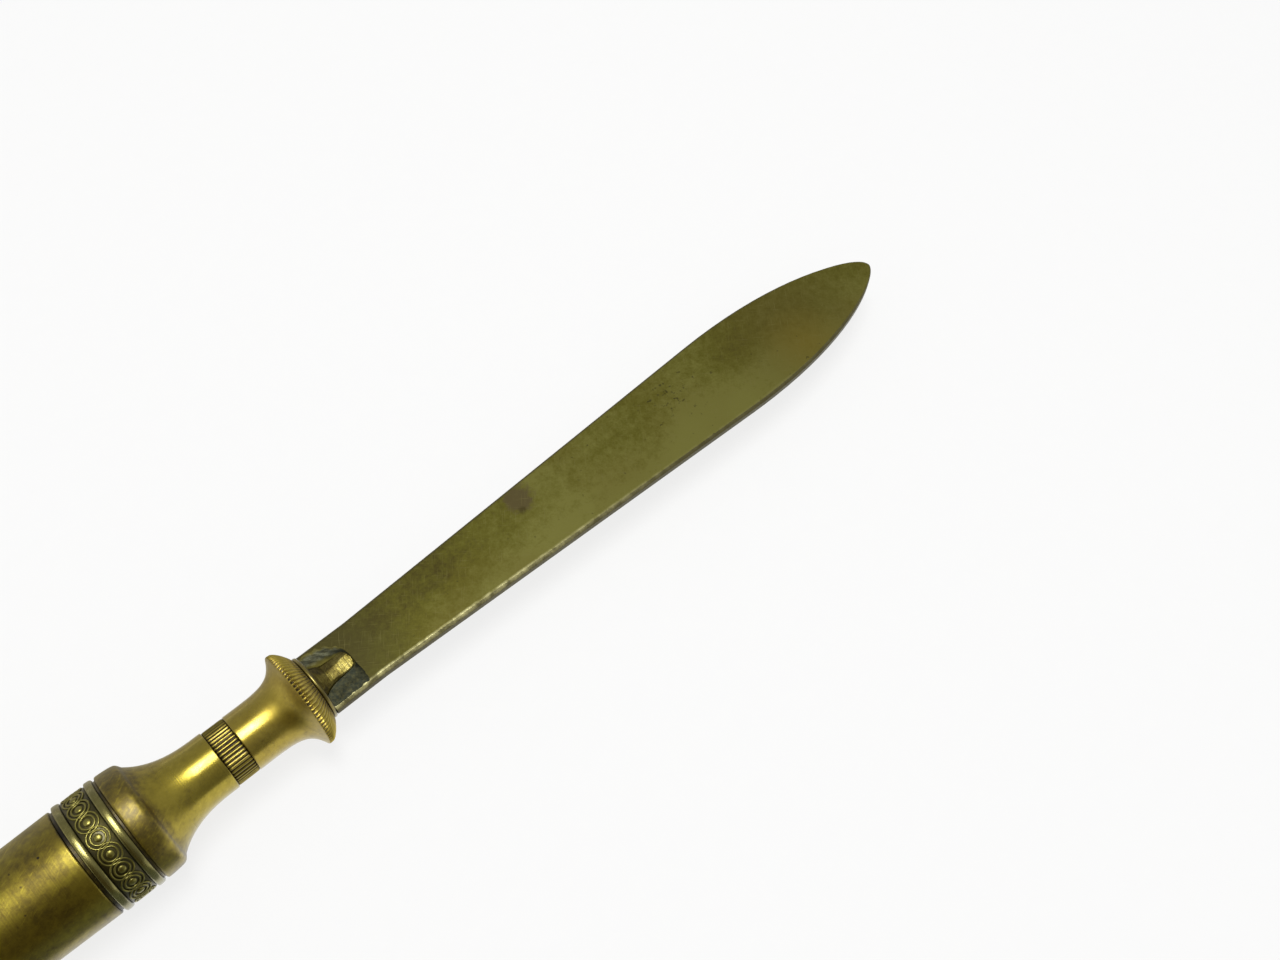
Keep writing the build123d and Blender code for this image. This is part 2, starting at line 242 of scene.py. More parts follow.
# columns of one tooth and how deep each lies
roundTooth = [(1, 0.146), (7, 0.146), (2, 0.5), (6, 0.5), (3, 0.854), (5, 0.854), (4, 1.0)]
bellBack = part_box("front_bell")[0].x / mm
bellRings = [(0.0, 1.83, 0.0), (0.0, 4.14, 0.35), (0.04, 4.21, 0.2), (0.1, 4.24, 0.05), (0.16, 4.24, 0.0),
             (2.6, 4.24, 0.0)]
bellRings += [(x, r, 0.0) for x, r in curvePoints((2.6, 4.24), (6.4, 4.24), (7.55, 4.7), (8.55, 6.55), 12)]
# land and teeth of the rim: negative hollow, a paler colour that is partly rubbed bright and partly painted highlight
bellRings += [(8.68, 6.83, 0.0), (8.76, 6.98, 0.0), (8.84, 7.08, 0.0), (8.95, 7.14, -0.1), (9.2, 7.15, -0.2),
              (9.42, 7.13, -0.35), (9.6, 7.06, -0.5), (9.82, 6.92, -0.5), (10.06, 6.71, -0.5), (10.3, 6.45, -0.5),
              (10.54, 6.15, -0.5), (10.78, 5.82, -0.2), (10.99, 5.5, -0.1), (11.15, 5.22, 0.0), (11.22, 5.02, 0.3),
              (11.22, 4.66, 0.6), (10.9, 4.6, 0.6), (10.9, 1.83, 0.5)]
bellPiece = turnPiece("frontBell", [(bellBack + x, r, h) for x, r, h in bellRings], bell["columns"])
pressTeeth(bellPiece, bell["teeth"], bell["columns"], roundTooth,
           bellBack + bell["teethX"][0], bellBack + bell["teethX"][1], bell["leastRadius"], bell["toothDepth"],
           bell["crestRadius"], bell["soilAndShade"], bell["lean"])
smoothPiece(bellPiece, bell["smooth"])
finishPiece(bellPiece, "front_bell", turnedBrass("turned brass, rubbed bright", bell["look"]))

# Fluted ring between the two bells, its flutes a little sunk
fluted = {
    "columns": 46 * 8, "flutes": 46, "depth": 0.13, "flutesX": (-1, 4), "leastRadius": 3.0, "crestRadius": 4.17,
    "soilAndShade": 0.8, "smooth": 45,
    "look": dict(bell["look"], glossFrom=(-27.0, 0.22), glossTo=(-23.0, 0.22), relief=0.2, mottleDepth=0.4, film=0.4,
                 colours=[(0.0, "#b3a44a"), (0.3, "#8f7f28"), (0.55, "#5c4e12"), (0.8, "#2c2109"), (1.0, "#151005")]),
}
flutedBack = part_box("fluted_ring")[0].x / mm
flutedRings = [(0.0, 1.83, 0.5), (0.0, 4.04, 0.35), (0.06, 4.12, 0.2), (0.2, 4.16, 0.05), (0.5, 4.17, 0.0),
               (1.6, 4.17, 0.0), (2.7, 4.17, 0.0), (3.0, 4.16, 0.05), (3.14, 4.12, 0.2), (3.2, 4.04, 0.35),
               (3.2, 1.83, 0.5)]
flutedPiece = turnPiece("flutedRing", [(flutedBack + x, r, h) for x, r, h in flutedRings], fluted["columns"])
pressTeeth(flutedPiece, fluted["flutes"], fluted["columns"], roundTooth,
           flutedBack + fluted["flutesX"][0], flutedBack + fluted["flutesX"][1], fluted["leastRadius"],
           fluted["depth"], fluted["crestRadius"], fluted["soilAndShade"])
smoothPiece(flutedPiece, fluted["smooth"])
finishPiece(flutedPiece, "fluted_ring", turnedBrass("turned brass, fluted", fluted["look"]))

# Shoulder bell: polished trumpet, soft crease, duller rounded cushion, and the groove in front of the first band
shoulder = {
    "columns": 192, "smooth": 40,
    "look": dict(bell["look"], glossFrom=(-36.8, 0.32), glossTo=(-31.0, 0.18), patchDepth=0.7, film=0.8,
                 colours=[(0.0, "#baa737"), (0.3, "#a29024"), (0.55, "#6f5f15"), (0.8, "#392f0c"), (1.0, "#1a1306")]),
}
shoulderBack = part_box("shoulder_bell")[0].x / mm
shoulderRings = [(0.0, 6.88, 0.55), (0.0, 7.45, 0.55), (0.24, 7.45, 0.5), (0.3, 7.62, 0.4), (0.36, 7.74, 0.3),
                 (0.46, 7.81, 0.22), (0.6, 7.835, 0.2), (0.75, 7.84, 0.24), (1.3, 7.82, 0.24), (1.8, 7.785, 0.24),
                 (2.25, 7.745, 0.24), (2.6, 7.7, 0.22), (2.88, 7.63, 0.2), (3.08, 7.53, 0.2), (3.22, 7.41, 0.18),
                 (3.34, 7.26, 0.25), (3.44, 7.1, 0.35), (3.54, 6.95, 0.35), (3.64, 6.8, 0.25)]
shoulderRings += [(x, r, 0.15 if i < 1 else 0.0) for i, (x, r) in
                  enumerate(curvePoints((3.64, 6.8), (5.95, 4.87), (8.9, 4.34), (11.8, 4.34), 14))]
shoulderRings += [(13.24, 4.34, 0.0), (13.3, 4.34, 0.05), (13.36, 4.3, 0.3), (13.4, 4.22, 0.6), (13.4, 1.83, 0.5),
                  (2.5, 1.83, 0.5), (2.5, 6.88, 0.5)]
shoulderPiece = turnPiece("shoulderBell", [(shoulderBack + x, r, h) for x, r, h in shoulderRings],
                          shoulder["columns"])
smoothPiece(shoulderPiece, shoulder["smooth"])
shoulderBrass = turnedBrass("turned brass, polished at the neck", shoulder["look"])
finishPiece(shoulderPiece, "shoulder_bell", shoulderBrass)

# Plain bands on each side of the frieze, with softly rounded faces
band = {
    "columns": 192, "smooth": 50,
    "look": dict(bell["look"], patchDepth=0.35, mottleDepth=0.45, film=0.9,
                 glossFrom=(-46.0, 0.22), glossTo=(-40.0, 0.22),
                 colours=[(0.0, "#9c9450"), (0.3, "#77702f"), (0.55, "#4f4919"), (0.8, "#2c270d"), (1.0, "#141005")]),
}
bandRings = [(0.0, 6.88, 0.6), (0.0, 7.5, 0.7), (0.03, 7.68, 0.45), (0.08, 7.82, 0.2), (0.15, 7.91, 0.0),
             (0.24, 7.945, 0.0), (0.36, 7.95, 0.0), (0.56, 7.945, 0.0), (0.76, 7.925, 0.0), (0.93, 7.89, 0.0),
             (1.04, 7.82, 0.15), (1.11, 7.68, 0.45), (1.15, 7.5, 0.7), (1.15, 6.88, 0.6)]
bandBrass = turnedBrass("turned brass, greenish tarnish", band["look"])
for pieceName, node in (("frontBand", "front_band"), ("rearBand", "rear_band")):
    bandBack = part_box(node)[0].x / mm
    bandPiece = turnPiece(pieceName, [(bandBack + x, r, h) for x, r, h in bandRings], band["columns"])
    smoothPiece(bandPiece, band["smooth"])
    finishPiece(bandPiece, node, bandBrass)

# Frieze: dark ground ring with a row of ring-and-dot motifs, each motif wrapped on to the ring
frieze = {
    "columns": 160, "ground": 7.64, "motifs": 20, "turn": -4.6, "rings": ((1.36, 0.13), (0.9, 0.14)), "dot": 0.52,
    "dotFlat": 0.36, "foot": -0.08, "lift": 0.04, "middle": 1.65, "footDirt": 0.42, "dirtFall": 3.0,
    "dirtRange": (0.05, 0.5), "smooth": 50,
    "look": dict(bell["look"], patchDepth=0.35, mottleDepth=0.5, mottleMm=0.6, film=0.6,
                 glossFrom=(-46.0, 0.27), glossTo=(-40.0, 0.27),
                 colours=[(0.0, "#b2a954"), (0.3, "#8c8438"), (0.55, "#5e5722"), (0.8, "#3b3616"), (1.0, "#24200d")]),
}
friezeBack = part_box("frieze_band")[0].x / mm
friezeRings = [(0.0, 6.88, 0.7), (0.0, 7.56, 0.75), (0.1, 7.64, 0.58), (1.65, 7.64, 0.54), (3.2, 7.64, 0.58),
               (3.3, 7.56, 0.75), (3.3, 6.88, 0.7)]
friezePiece = turnPiece("friezeBand", [(friezeBack + x, r, h) for x, r, h in friezeRings], frieze["columns"])
bpy.ops.object.select_all(action="DESELECT")
motifParts = []
for radius, wire in frieze["rings"]:
    bpy.ops.mesh.primitive_torus_add(major_radius=radius * mm, minor_radius=wire * mm, major_segments=32,
                                     minor_segments=8)
    bpy.ops.object.mode_set(mode="EDIT")
    bpy.ops.mesh.select_all(action="SELECT")
    bpy.ops.mesh.bisect(plane_co=(0, 0, frieze["foot"] * mm), plane_no=(0, 0, 1), use_fill=False, clear_inner=True)
    bpy.ops.object.mode_set(mode="OBJECT")
    motifParts.append(bpy.context.active_object)
bpy.ops.mesh.primitive_uv_sphere_add(radius=frieze["dot"] * mm, segments=16, ring_count=8)
bpy.ops.object.mode_set(mode="EDIT")
bpy.ops.mesh.select_all(action="SELECT")
bpy.ops.transform.resize(value=(1, 1, frieze["dotFlat"]))
bpy.ops.mesh.bisect(plane_co=(0, 0, frieze["foot"] * mm), plane_no=(0, 0, 1), use_fill=False, clear_inner=True)
bpy.ops.object.mode_set(mode="OBJECT")
motifParts.append(bpy.context.active_object)
for part in motifParts:
    part.select_set(True)
bpy.ops.object.join()
motif = bpy.context.active_object
dirtAndSheen = motif.data.attributes.new("hollow", "FLOAT", "POINT")
least, most = frieze["dirtRange"]
for vertex in motif.data.vertices:  # rubbed on top, dirty at the foot
    dirtAndSheen.data[vertex.index].value = min(most, max(least, frieze["footDirt"] - frieze["dirtFall"] * vertex.co.z / mm))
copies = []
for index in range(frieze["motifs"]):
    copy = motif.copy()
    copy.data = motif.data.copy()
    bpy.context.collection.objects.link(copy)
    angle = radians(frieze["turn"] + 90) + index * 2 * pi / frieze["motifs"]
    for vertex in copy.data.vertices:
        x, across, height = vertex.co / mm
        radius = frieze["ground"] + frieze["lift"] + height
        turned = angle + across / frieze["ground"]
        vertex.co = Vector((friezeBack + frieze["middle"] + x, radius * cos(turned),
                            axisHeight + radius * sin(turned))) * mm
    copies.append(copy)
bpy.data.objects.remove(motif)
selectOnly(friezePiece, *copies)
bpy.ops.object.join()
smoothPiece(friezePiece, frieze["smooth"])
finishPiece(friezePiece, "frieze_band", turnedBrass("pressed brass, dark ground", frieze["look"]))

# Handle tube: slow taper, with the groove next to the rear band
tube = {
    "columns": 192, "smooth": 40, "steps": 16,
    "look": dict(bell["look"], patchMm=9.0, mottleMm=1.1, patchDepth=0.9, mottleDepth=0.75,
                 ringMm=0.2, relief=0.6, film=0.65, glossFrom=(-95.0, 0.32), glossTo=(-46.0, 0.29),
                 colours=[(0.0, "#baab3e"), (0.3, "#9a8a22"), (0.55, "#726215"), (0.8, "#392f0b"), (1.0, "#181206")]),
}
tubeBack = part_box("handle_tube")[0].x / mm
tubeRings = [(0.0, 5.9, 0.5), (0.0, 6.52, 0.6), (0.06, 6.59, 0.3)]
tubeRings += [(0.15 + 48.6 * i / tube["steps"], 6.6 + 1.14 * i / tube["steps"], 0.2 if i == 0 else 0.0)
              for i in range(tube["steps"] + 1)]
tubeRings += [(48.9, 7.73, 0.15), (48.98, 7.66, 0.35), (49.06, 7.45, 0.5), (49.4, 7.45, 0.55), (49.4, 6.88, 0.55),
              (43.3, 6.88, 0.5), (43.3, 5.9, 0.5)]
tubePiece = turnPiece("handleTube", [(tubeBack + x, r, h) for x, r, h in tubeRings], tube["columns"])
smoothPiece(tubePiece, tube["smooth"])
tubeBrass = turnedBrass("spun brass tube, brown tarnish", tube["look"])
finishPiece(tubePiece, "handle_tube", tubeBrass)

# Tail cap: collar with a rounded end, and the blind bore that screws on to the rod
cap = {"columns": 160, "smooth": 40}
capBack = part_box("tail_cap")[0].x / mm
capRings = [(0.0, 0.001, 0.0), (0.0, 5.6, 0.0), (0.06, 5.95, 0.0), (0.22, 6.3, 0.0), (0.5, 6.6, 0.0), (0.9, 6.8, 0.0),
            (1.4, 6.89, 0.0), (1.8, 6.9, 0.0), (4.74, 6.9, 0.0), (4.84, 6.9, 0.0), (4.94, 6.86, 0.2),
            (5.0, 6.75, 0.6), (5.0, 5.84, 0.6), (8.0, 5.84, 0.5), (8.0, 1.43, 0.5), (3.4, 1.43, 0.5),
            (3.4, 0.001, 0.5)]
capPiece = turnPiece("tailCap", [(capBack + x, r, h) for x, r, h in capRings], cap["columns"], closed=False)
smoothPiece(capPiece, cap["smooth"])
finishPiece(capPiece, "tail_cap", tubeBrass)

# Mouth plate: groove against the bell, then the thin lip, bright only where it is rubbed
mouth = {
    "columns": 160, "smooth": 50,
    "look": dict(bell["look"], glossFrom=(-13.0, 0.25), glossTo=(-11.0, 0.25), mottleDepth=0.5,
                 colours=[(0.0, "#a09238"), (0.3, "#7e7026"), (0.55, "#514513"), (0.8, "#2c240b"), (1.0, "#151006")]),
}
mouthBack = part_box("mouth_plate")[0].x / mm
mouthRings = [(0.0, 1.83, 0.5), (0.0, 4.46, 0.6), (0.34, 4.46, 0.6), (0.38, 4.66, 0.4), (0.46, 4.8, 0.1),
              (0.58, 4.85, 0.0), (0.7, 4.85, 0.0), (0.82, 4.82, 0.1), (0.94, 4.74, 0.3), (1.0, 4.6, 0.5),
              (1.0, 1.83, 0.5)]
mouthPiece = turnPiece("mouthPlate", [(mouthBack + x, r, h) for x, r, h in mouthRings], mouth["columns"])
smoothPiece(mouthPiece, mouth["smooth"])
finishPiece(mouthPiece, "mouth_plate", turnedBrass("turned brass lip", mouth["look"]))

# Rod: threaded tail, long shank, and the slotted tongue that grips the blade, its nose filed askew by hand
rod = {
    "columns": 96, "slot": 1.86, "slotBack": 8.1, "slotFront": 7.0, "slotAcross": 8.0, "cut": (5.85, -0.9),
    "cutAway": (0.894, -0.447, 0.0), "flatsFrom": 1.6, "flatsMiddle": 3, "smooth": 35,
    "flats": [((0.12, -0.2, 0.9724), 1.58), ((0.0, 0.42, 0.9075), 1.58), ((0.12, -0.2, -0.9724), 1.58),
              ((0.0, 0.42, -0.9075), 1.58)],
    # the tongue's colour darkens towards its root and pales towards its nose: painted shade and painted highlight
    "look": dict(bell["look"], glossFrom=(-12.0, 0.36), glossTo=(-6.0, 0.3), mottleMm=0.8, mottleDepth=1.0,
                 patchMm=2.0, patchDepth=0.9, relief=1.0, reliefMm=0.06, film=0.3, paintedShadeFrom=(-10.5, 0.05),
                 paintedShadeTo=(-7.0, -0.12), scratch=0.3,
                 colours=[(0.0, "#b7ab68"), (0.3, "#8f8340"), (0.55, "#665a20"), (0.8, "#3b3210"), (1.0, "#1a1506")]),
}
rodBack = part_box("tang_rod")[0].x / mm
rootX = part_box("mouth_plate")[1].x / mm
rodRings = [(rodBack, 0.001, 0.5), (rodBack, 1.25, 0.5), (rodBack + 0.15, 1.4, 0.5), (rodBack + 4.5, 1.4, 0.5),
            (rodBack + 4.5, 1.8, 0.5), (rootX, 1.8, 0.5)]
rodRings += [(rootX + x, r, h) for x, r, h in (
    (0.0, 2.95, 0.2), (0.3, 2.72, 0.12), (0.7, 2.48, 0.06), (1.2, 2.25, 0.0), (1.8, 2.05, 0.0), (2.5, 1.95, 0.0),
    (3.4, 1.9, 0.0), (4.3, 1.85, 0.0), (4.9, 1.78, 0.0), (5.3, 1.66, 0.0), (5.55, 1.5, 0.05), (5.72, 1.28, 0.1),
    (5.79, 1.0, 0.2), (5.8, 0.001, 0.3))]
rodPiece = turnPiece("tangRod", rodRings, rod["columns"], closed=False)
for vertex in rodPiece.data.vertices:  # filed flats on both cheeks of the tongue
    for facing, depth in rod["flats"]:
        over = (vertex.co / mm - Vector((rootX + rod["flatsMiddle"], 0, axisHeight))).dot(Vector(facing)) - depth
        if over > 0 and vertex.co.x / mm > rootX + rod["flatsFrom"]:
            vertex.co -= Vector(facing) * over * mm
bpy.ops.object.mode_set(mode="EDIT")
bpy.ops.mesh.select_all(action="SELECT")
bpy.ops.mesh.bisect(plane_co=((rootX + rod["cut"][0]) * mm, rod["cut"][1] * mm, axisHeight * mm),
                    plane_no=rod["cutAway"], use_fill=True, clear_outer=True)
bpy.ops.object.mode_set(mode="OBJECT")
bpy.ops.object.select_all(action="DESELECT")
slotLength = rod["slotBack"] + rod["slotFront"]
slotCentre = ((rootX - rod["slotBack"] + slotLength / 2) * mm, 0, axisHeight * mm)
bpy.ops.mesh.primitive_cube_add(size=mm, location=slotCentre, scale=(slotLength, rod["slotAcross"], rod["slot"]))
slotCutter = bpy.context.active_object
selectOnly(rodPiece)
slotCut = rodPiece.modifiers.new("slot", "BOOLEAN")
slotCut.operation = "DIFFERENCE"
slotCut.solver = "EXACT"
slotCut.object = slotCutter
bpy.ops.object.modifier_apply(modifier=slotCut.name)
bpy.data.objects.remove(slotCutter)
smoothPiece(rodPiece, rod["smooth"])
# the tongue's paler nose is painted highlight, its darker root painted shade
finishPiece(rodPiece, "tang_rod", turnedBrass("turned brass tongue, filed and rubbed", rod["look"]))

# Solder: a fillet against the tongue that runs out into a thin uneven skin, one run on each face of the blade
solder = {
    "along": 84, "across": 12, "gap": 0.03, "rise": 0.16, "skin": 0.07, "least": 0.012, "lumpy": 0.7, "face": 0.904,
    "wobble": 0.22, "wobbleSteps": 26, "flatHalf": 4.44, "farShare": 0.84, "sink": 0.5, "smooth": 50,
    "edge": [(0.06, -4.4), (2.0, -4.45), (4.0, -4.45), (5.5, -4.4), (5.95, -3.9), (5.98, -2.5), (5.9, -1.4),
             (5.92, 0.0), (5.9, 0.9), (5.8, 1.8), (5.2, 2.8), (3.6, 3.7), (1.8, 4.1), (0.06, 4.2)],
    "dark": "#22251b", "middle": "#313327", "pale": "#73745c", "brown": "#3f3c24", "olive": "#6f672c",
    "dragMm": (2.4, 0.4, 3.0), "dragTurn": -32, "gritMm": 0.4, "wipedMm": (0.5, 2.6), "olivePast": (-1.5, -0.9),
    "brownCut": (0.42, 0.75), "featherCut": (1.0, 1.25), "featherMost": 0.85, "besideCut": (0.12, 0.4),
    "besideMost": 0.9, "metal": 0.9, "gloss": 0.45, "relief": 0.6, "reliefMm": 0.05,
}
tongueLine = [(0.06, 2.8), (0.5, 2.45), (0.9, 2.2), (1.4, 2.0), (2.0, 1.82), (3.2, 1.7), (4.8, 1.55), (5.3, 1.38),
              (5.62, 1.0), (5.78, 0.6), (5.84, 0.0)]
innerLine = [(x, -y) for x, y in tongueLine] + [(x, solder["farShare"] * y) for x, y in tongueLine[-2::-1]]


def alongLine(points, share):
    lengths = [hypot(b[0] - a[0], b[1] - a[1]) for a, b in zip(points, points[1:])]
    left = share * sum(lengths)
    for (a, b), length in zip(zip(points, points[1:]), lengths):
        if left <= length:
            return [a[i] + (b[i] - a[i]) * left / length for i in (0, 1)]
        left -= length
    return list(points[-1])


solderRuns = []
for side in (1, -1):
    bpy.ops.object.select_all(action="DESELECT")
    bpy.ops.mesh.primitive_grid_add(x_subdivisions=solder["along"], y_subdivisions=solder["across"], size=2.0)
    run = bpy.context.active_object
    thin = run.data.attributes.new("thin", "FLOAT", "POINT")
    for vertex in run.data.vertices:
        share, out = (vertex.co.x + 1) / 2, (vertex.co.y + 1) / 2
        inner, outer = alongLine(innerLine, share), alongLine(solder["edge"], share)
        wobble = noise.noise(Vector((share * solder["wobbleSteps"], side * 3.0, 0.5))) * solder["wobble"] * out
        x, y = (inner[i] + (outer[i] - inner[i]) * (out + wobble * (1 if i else 0.4)) for i in (0, 1))
        y = max(-solder["flatHalf"], min(y, solder["flatHalf"]))  # stays on the flat of the blade
        inward = solder["gap"] if out == 0 else 0.0
        thin.data[vertex.index].value = out
        lump = noise.noise(Vector((x * 1.3, y * 1.3, side * 2.0)))
        height = solder["rise"] * (1 - out) ** 2.2 + solder["skin"] * (1 - out ** 6) * (1 + solder["lumpy"] * lump)
        z = axisHeight + side * (solder["face"] + max(height, solder["least"]))
        vertex.co = Vector((rootX + max(x, 0.05), y + (inward if y > 0 else -inward), z)) * mm
    bpy.ops.object.mode_set(mode="EDIT")
    bpy.ops.mesh.select_all(action="SELECT")
    bpy.ops.mesh.extrude_region_move(TRANSFORM_OT_translate={"value": (0, 0, -side * solder["sink"] * mm)})
    bpy.ops.transform.resize(value=(1, 1, 0), center_override=(0, 0, (axisHeight + side * solder["face"]) * mm))
    bpy.ops.mesh.select_all(action="SELECT")
    bpy.ops.mesh.normals_make_consistent(inside=False)
    bpy.ops.object.mode_set(mode="OBJECT")
    bpy.context.view_layer.update()
    solderRuns.append(run)
selectOnly(*solderRuns)
bpy.ops.object.join()
solderPiece = solderRuns[0]
solderPiece.name = "solderSeam"
smoothPiece(solderPiece, solder["smooth"])

# Soft solder, wiped while hot and never cleaned: dead grey-green, with paler drag marks where the cloth pulled it
softSolder, tree = startMaterial("soft solder, wiped")
place = addNode(tree, "ShaderNodeTexCoord").outputs["Object"]
axes = addNode(tree, "ShaderNodeSeparateXYZ", None, {0: place})
drag = addNode(tree, "ShaderNodeMapping",
               {"vector_type": "TEXTURE", "Rotation": (0, 0, radians(solder["dragTurn"])),
                "Scale": Vector(solder["dragMm"]) * mm}, {"Vector": place})
marks = addNode(tree, "ShaderNodeTexNoise", {"Scale": 1.0, "Detail": 4.0, "Roughness": 0.6}, {"Vector": drag})
grit = addNode(tree, "ShaderNodeTexNoise", {"Scale": 1000 / solder["gritMm"], "Detail": 4.0, "Roughness": 0.7},
               {"Vector": place})
wiped = addNode(tree, "ShaderNodeMapRange",
                {"From Min": solder["wipedMm"][0] * mm, "From Max": solder["wipedMm"][1] * mm},
                {"Value": axes.outputs["Y"]})
pale = addNode(tree, "ShaderNodeMath", {"operation": "MULTIPLY", "use_clamp": True}, {0: wiped, 1: marks})
tone = addNode(tree, "ShaderNodeValToRGB",
               {"stops": [(0.0, solder["dark"]), (0.35, solder["middle"]), (0.6, solder["pale"])]}, {"Fac": pale})
brown = addNode(tree, "ShaderNodeMapRange", {"From Min": solder["brownCut"][0], "From Max": solder["brownCut"][1]},
                {"Value": grit})
mixed = addNode(tree, "ShaderNodeMix", {"data_type": "RGBA", 7: linear(solder["brown"])}, {0: brown, 6: tone})
thin = addNode(tree, "ShaderNodeAttribute", {"attribute_name": "thin"})
ragged = addNode(tree, "ShaderNodeMath", {"operation": "MULTIPLY_ADD", 1: 0.5}, {0: marks, 2: thin.outputs["Fac"]})
feather = addNode(tree, "ShaderNodeMapRange",
                  {"From Min": solder["featherCut"][0], "From Max": solder["featherCut"][1],
                   "To Max": solder["featherMost"]}, {"Value": ragged})
beside = addNode(tree, "ShaderNodeMapRange",
                 {"From Min": solder["besideCut"][0], "From Max": solder["besideCut"][1],
                  "To Min": solder["besideMost"], "To Max": 0.0}, {"Value": thin.outputs["Fac"]})
either = addNode(tree, "ShaderNodeMath", {"operation": "MAXIMUM"}, {0: feather, 1: beside})
farSide = addNode(tree, "ShaderNodeMapRange",
                  {"From Min": solder["olivePast"][0] * mm, "From Max": solder["olivePast"][1] * mm},
                  {"Value": axes.outputs["Y"]})
shown = addNode(tree, "ShaderNodeMath", {"operation": "MULTIPLY"}, {0: either, 1: farSide})
mixed = addNode(tree, "ShaderNodeMix", {"data_type": "RGBA", 7: linear(solder["olive"])},
                {0: shown, 6: mixed.outputs[2]})
relief = addNode(tree, "ShaderNodeBump", {"Strength": solder["relief"], "Distance": solder["reliefMm"] * mm},
                 {"Height": marks})
shader = addNode(tree, "ShaderNodeBsdfPrincipled", {"Metallic": solder["metal"], "Roughness": solder["gloss"]},
                 {"Base Color": mixed.outputs[2], "Normal": relief})
addNode(tree, "ShaderNodeOutputMaterial", None, {"Surface": shader})
finishPiece(solderPiece, "solder_seam", softSolder)

# Hidden sleeve keeps its solid
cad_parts["joint_sleeve"].data.materials.clear()
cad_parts["joint_sleeve"].data.materials.append(tubeBrass)

# Drawn brass sheet, never polished since: the eye sees an even, dull olive-brown, faintly cloudy and lightly pitted.
# Painted highlight pales its bevels and draws a pale line along one edge; painted shade darkens its sides and its
# root.
# The blade keeps its solid.
blade = {
    "cloudMm": 18.0, "mottleMm": 1.5, "grainMm": 0.35, "mottleDepth": 0.8, "grainDepth": 0.4,
    "toneRange": (0.775, 1.425), "colours": [(0.0, "#463f17"), (0.5, "#5e5a1f"), (1.0, "#757237")],
    "brown": "#5a4c18", "brownMm": 25.0, "brownShift": (0.31, 0.17, 0.0), "brownCut": (0.42, 0.66), "brownMost": 0.65,
    # darker root, painted shade that offsets the stronger lamp light near it; paler tip; paler near side:
    # axis, from and to in mm, tone there
    "zones": [("X", (-10, 22), (-0.34, 0.0)), ("X", (45, 90), (0.0, 0.12)), ("Y", (1.5, -5), (0.0, 0.32))],
    # marks that lie in one place: where, size, colour, start and end of the edge, strength, unevenness, pattern
    "marks": [
        ((-8.0, 0.5, 8.85), 12.0, "#474321", (0.0, 0.65), 0.65, 0.4, "mottle"),  # soot of the soldering
        ((27.1, 3.9, 8.85), 3.2, "#574c30", (0.15, 0.5), 0.9, 1.5, "mottle"),  # brown stain
        ((26.3, 2.0, 8.85), 1.1, "#423a18", (0.3, 0.7), 0.7, 1.6, "mottle"),  # its dark fringe
        ((81.0, 1.0, 8.85), 17.0, "#564a20", (0.0, 0.8), 0.5, 0.4, "mottle"),  # shade towards the tip
        ((80.0, -4.5, 8.85), 8.0, "#756727", (0.0, 0.9), 0.6, 0.4, "mottle"),  # ochre bloom
        ((56.5, -7.3, 8.85), 0.5, "#453f26", (0.1, 0.4), 1.0, 0.55, "grain"),  # nick in the edge
    ],
    # side: colour of the painted shade on the sides of the blade
    "side": "#453f26", "pit": "#37331a", "pitMm": 0.9, "pitsAt": (56.0, 2.6, 8.85), "pitsMm": 7.0, "pitsMore": 0.16,
    "pitCut": (0.7, 0.78), "pitMost": 0.75, "scratch": "#7a7444", "scratchMm": (3.0, 0.16),
    "scratchCut": (0.62, 0.74), "scratchMost": 0.32, "scratchTurns": ((-38, 0.0), (52, 0.4)),
    # the bevel and rubbed colours, and the keys that place them, paint highlight on the bevels and along the near
    # edge
    "bevel": "#6a6442", "rubbed": "#d8d29a", "crestMm": (0.5, 0.74), "highlightX": (15, 50), "highlightLeast": 0.1,
    "taperX": (-3.5, 64.5), "taperMm": 2.875, "highlightY": (-4.42, -4.1), "highlightMost": 0.9, "sideShadeCut": (0.2, 0.45),
    "sideShadeMost": 0.85, "bevelCut": (0.8, 0.95), "litSideCut": (-0.6, -0.3), "crestLeast": 0.3, "brokenCut": (0.4, 0.6),
    "brokenLeast": 0.2, "gloss": 0.32, "dull": 0.4, "bevelDuller": 0.35, "tarnished": 0.4, "specular": 0.1,
    "softMm": 0.22, "reliefMm": 0.02, "relief": 0.3, "pitDepth": -1.5,
}
bladeBrass, tree = startMaterial("drawn brass sheet, olive tarnish")
place = addNode(tree, "ShaderNodeTexCoord").outputs["Object"]
facing = addNode(tree, "ShaderNodeSeparateXYZ", None, {0: addNode(tree, "ShaderNodeNewGeometry").outputs["Normal"]})
clouds = addNode(tree, "ShaderNodeTexNoise", {"Scale": 1000 / blade["cloudMm"], "Detail": 3.0}, {"Vector": place})
mottle = addNode(tree, "ShaderNodeTexNoise", {"Scale": 1000 / blade["mottleMm"], "Detail": 6.0, "Roughness": 0.65},
                 {"Vector": place})
grain = addNode(tree, "ShaderNodeTexNoise", {"Scale": 1000 / blade["grainMm"], "Detail": 3.0, "Roughness": 0.6},
                {"Vector": place})
tone = addNode(tree, "ShaderNodeMath", {"operation": "MULTIPLY_ADD", 1: blade["mottleDepth"]}, {0: mottle, 2: clouds})
tone = addNode(tree, "ShaderNodeMath", {"operation": "MULTIPLY_ADD", 1: blade["grainDepth"]}, {0: grain, 2: tone})
spot = addNode(tree, "ShaderNodeSeparateXYZ", None, {0: place})
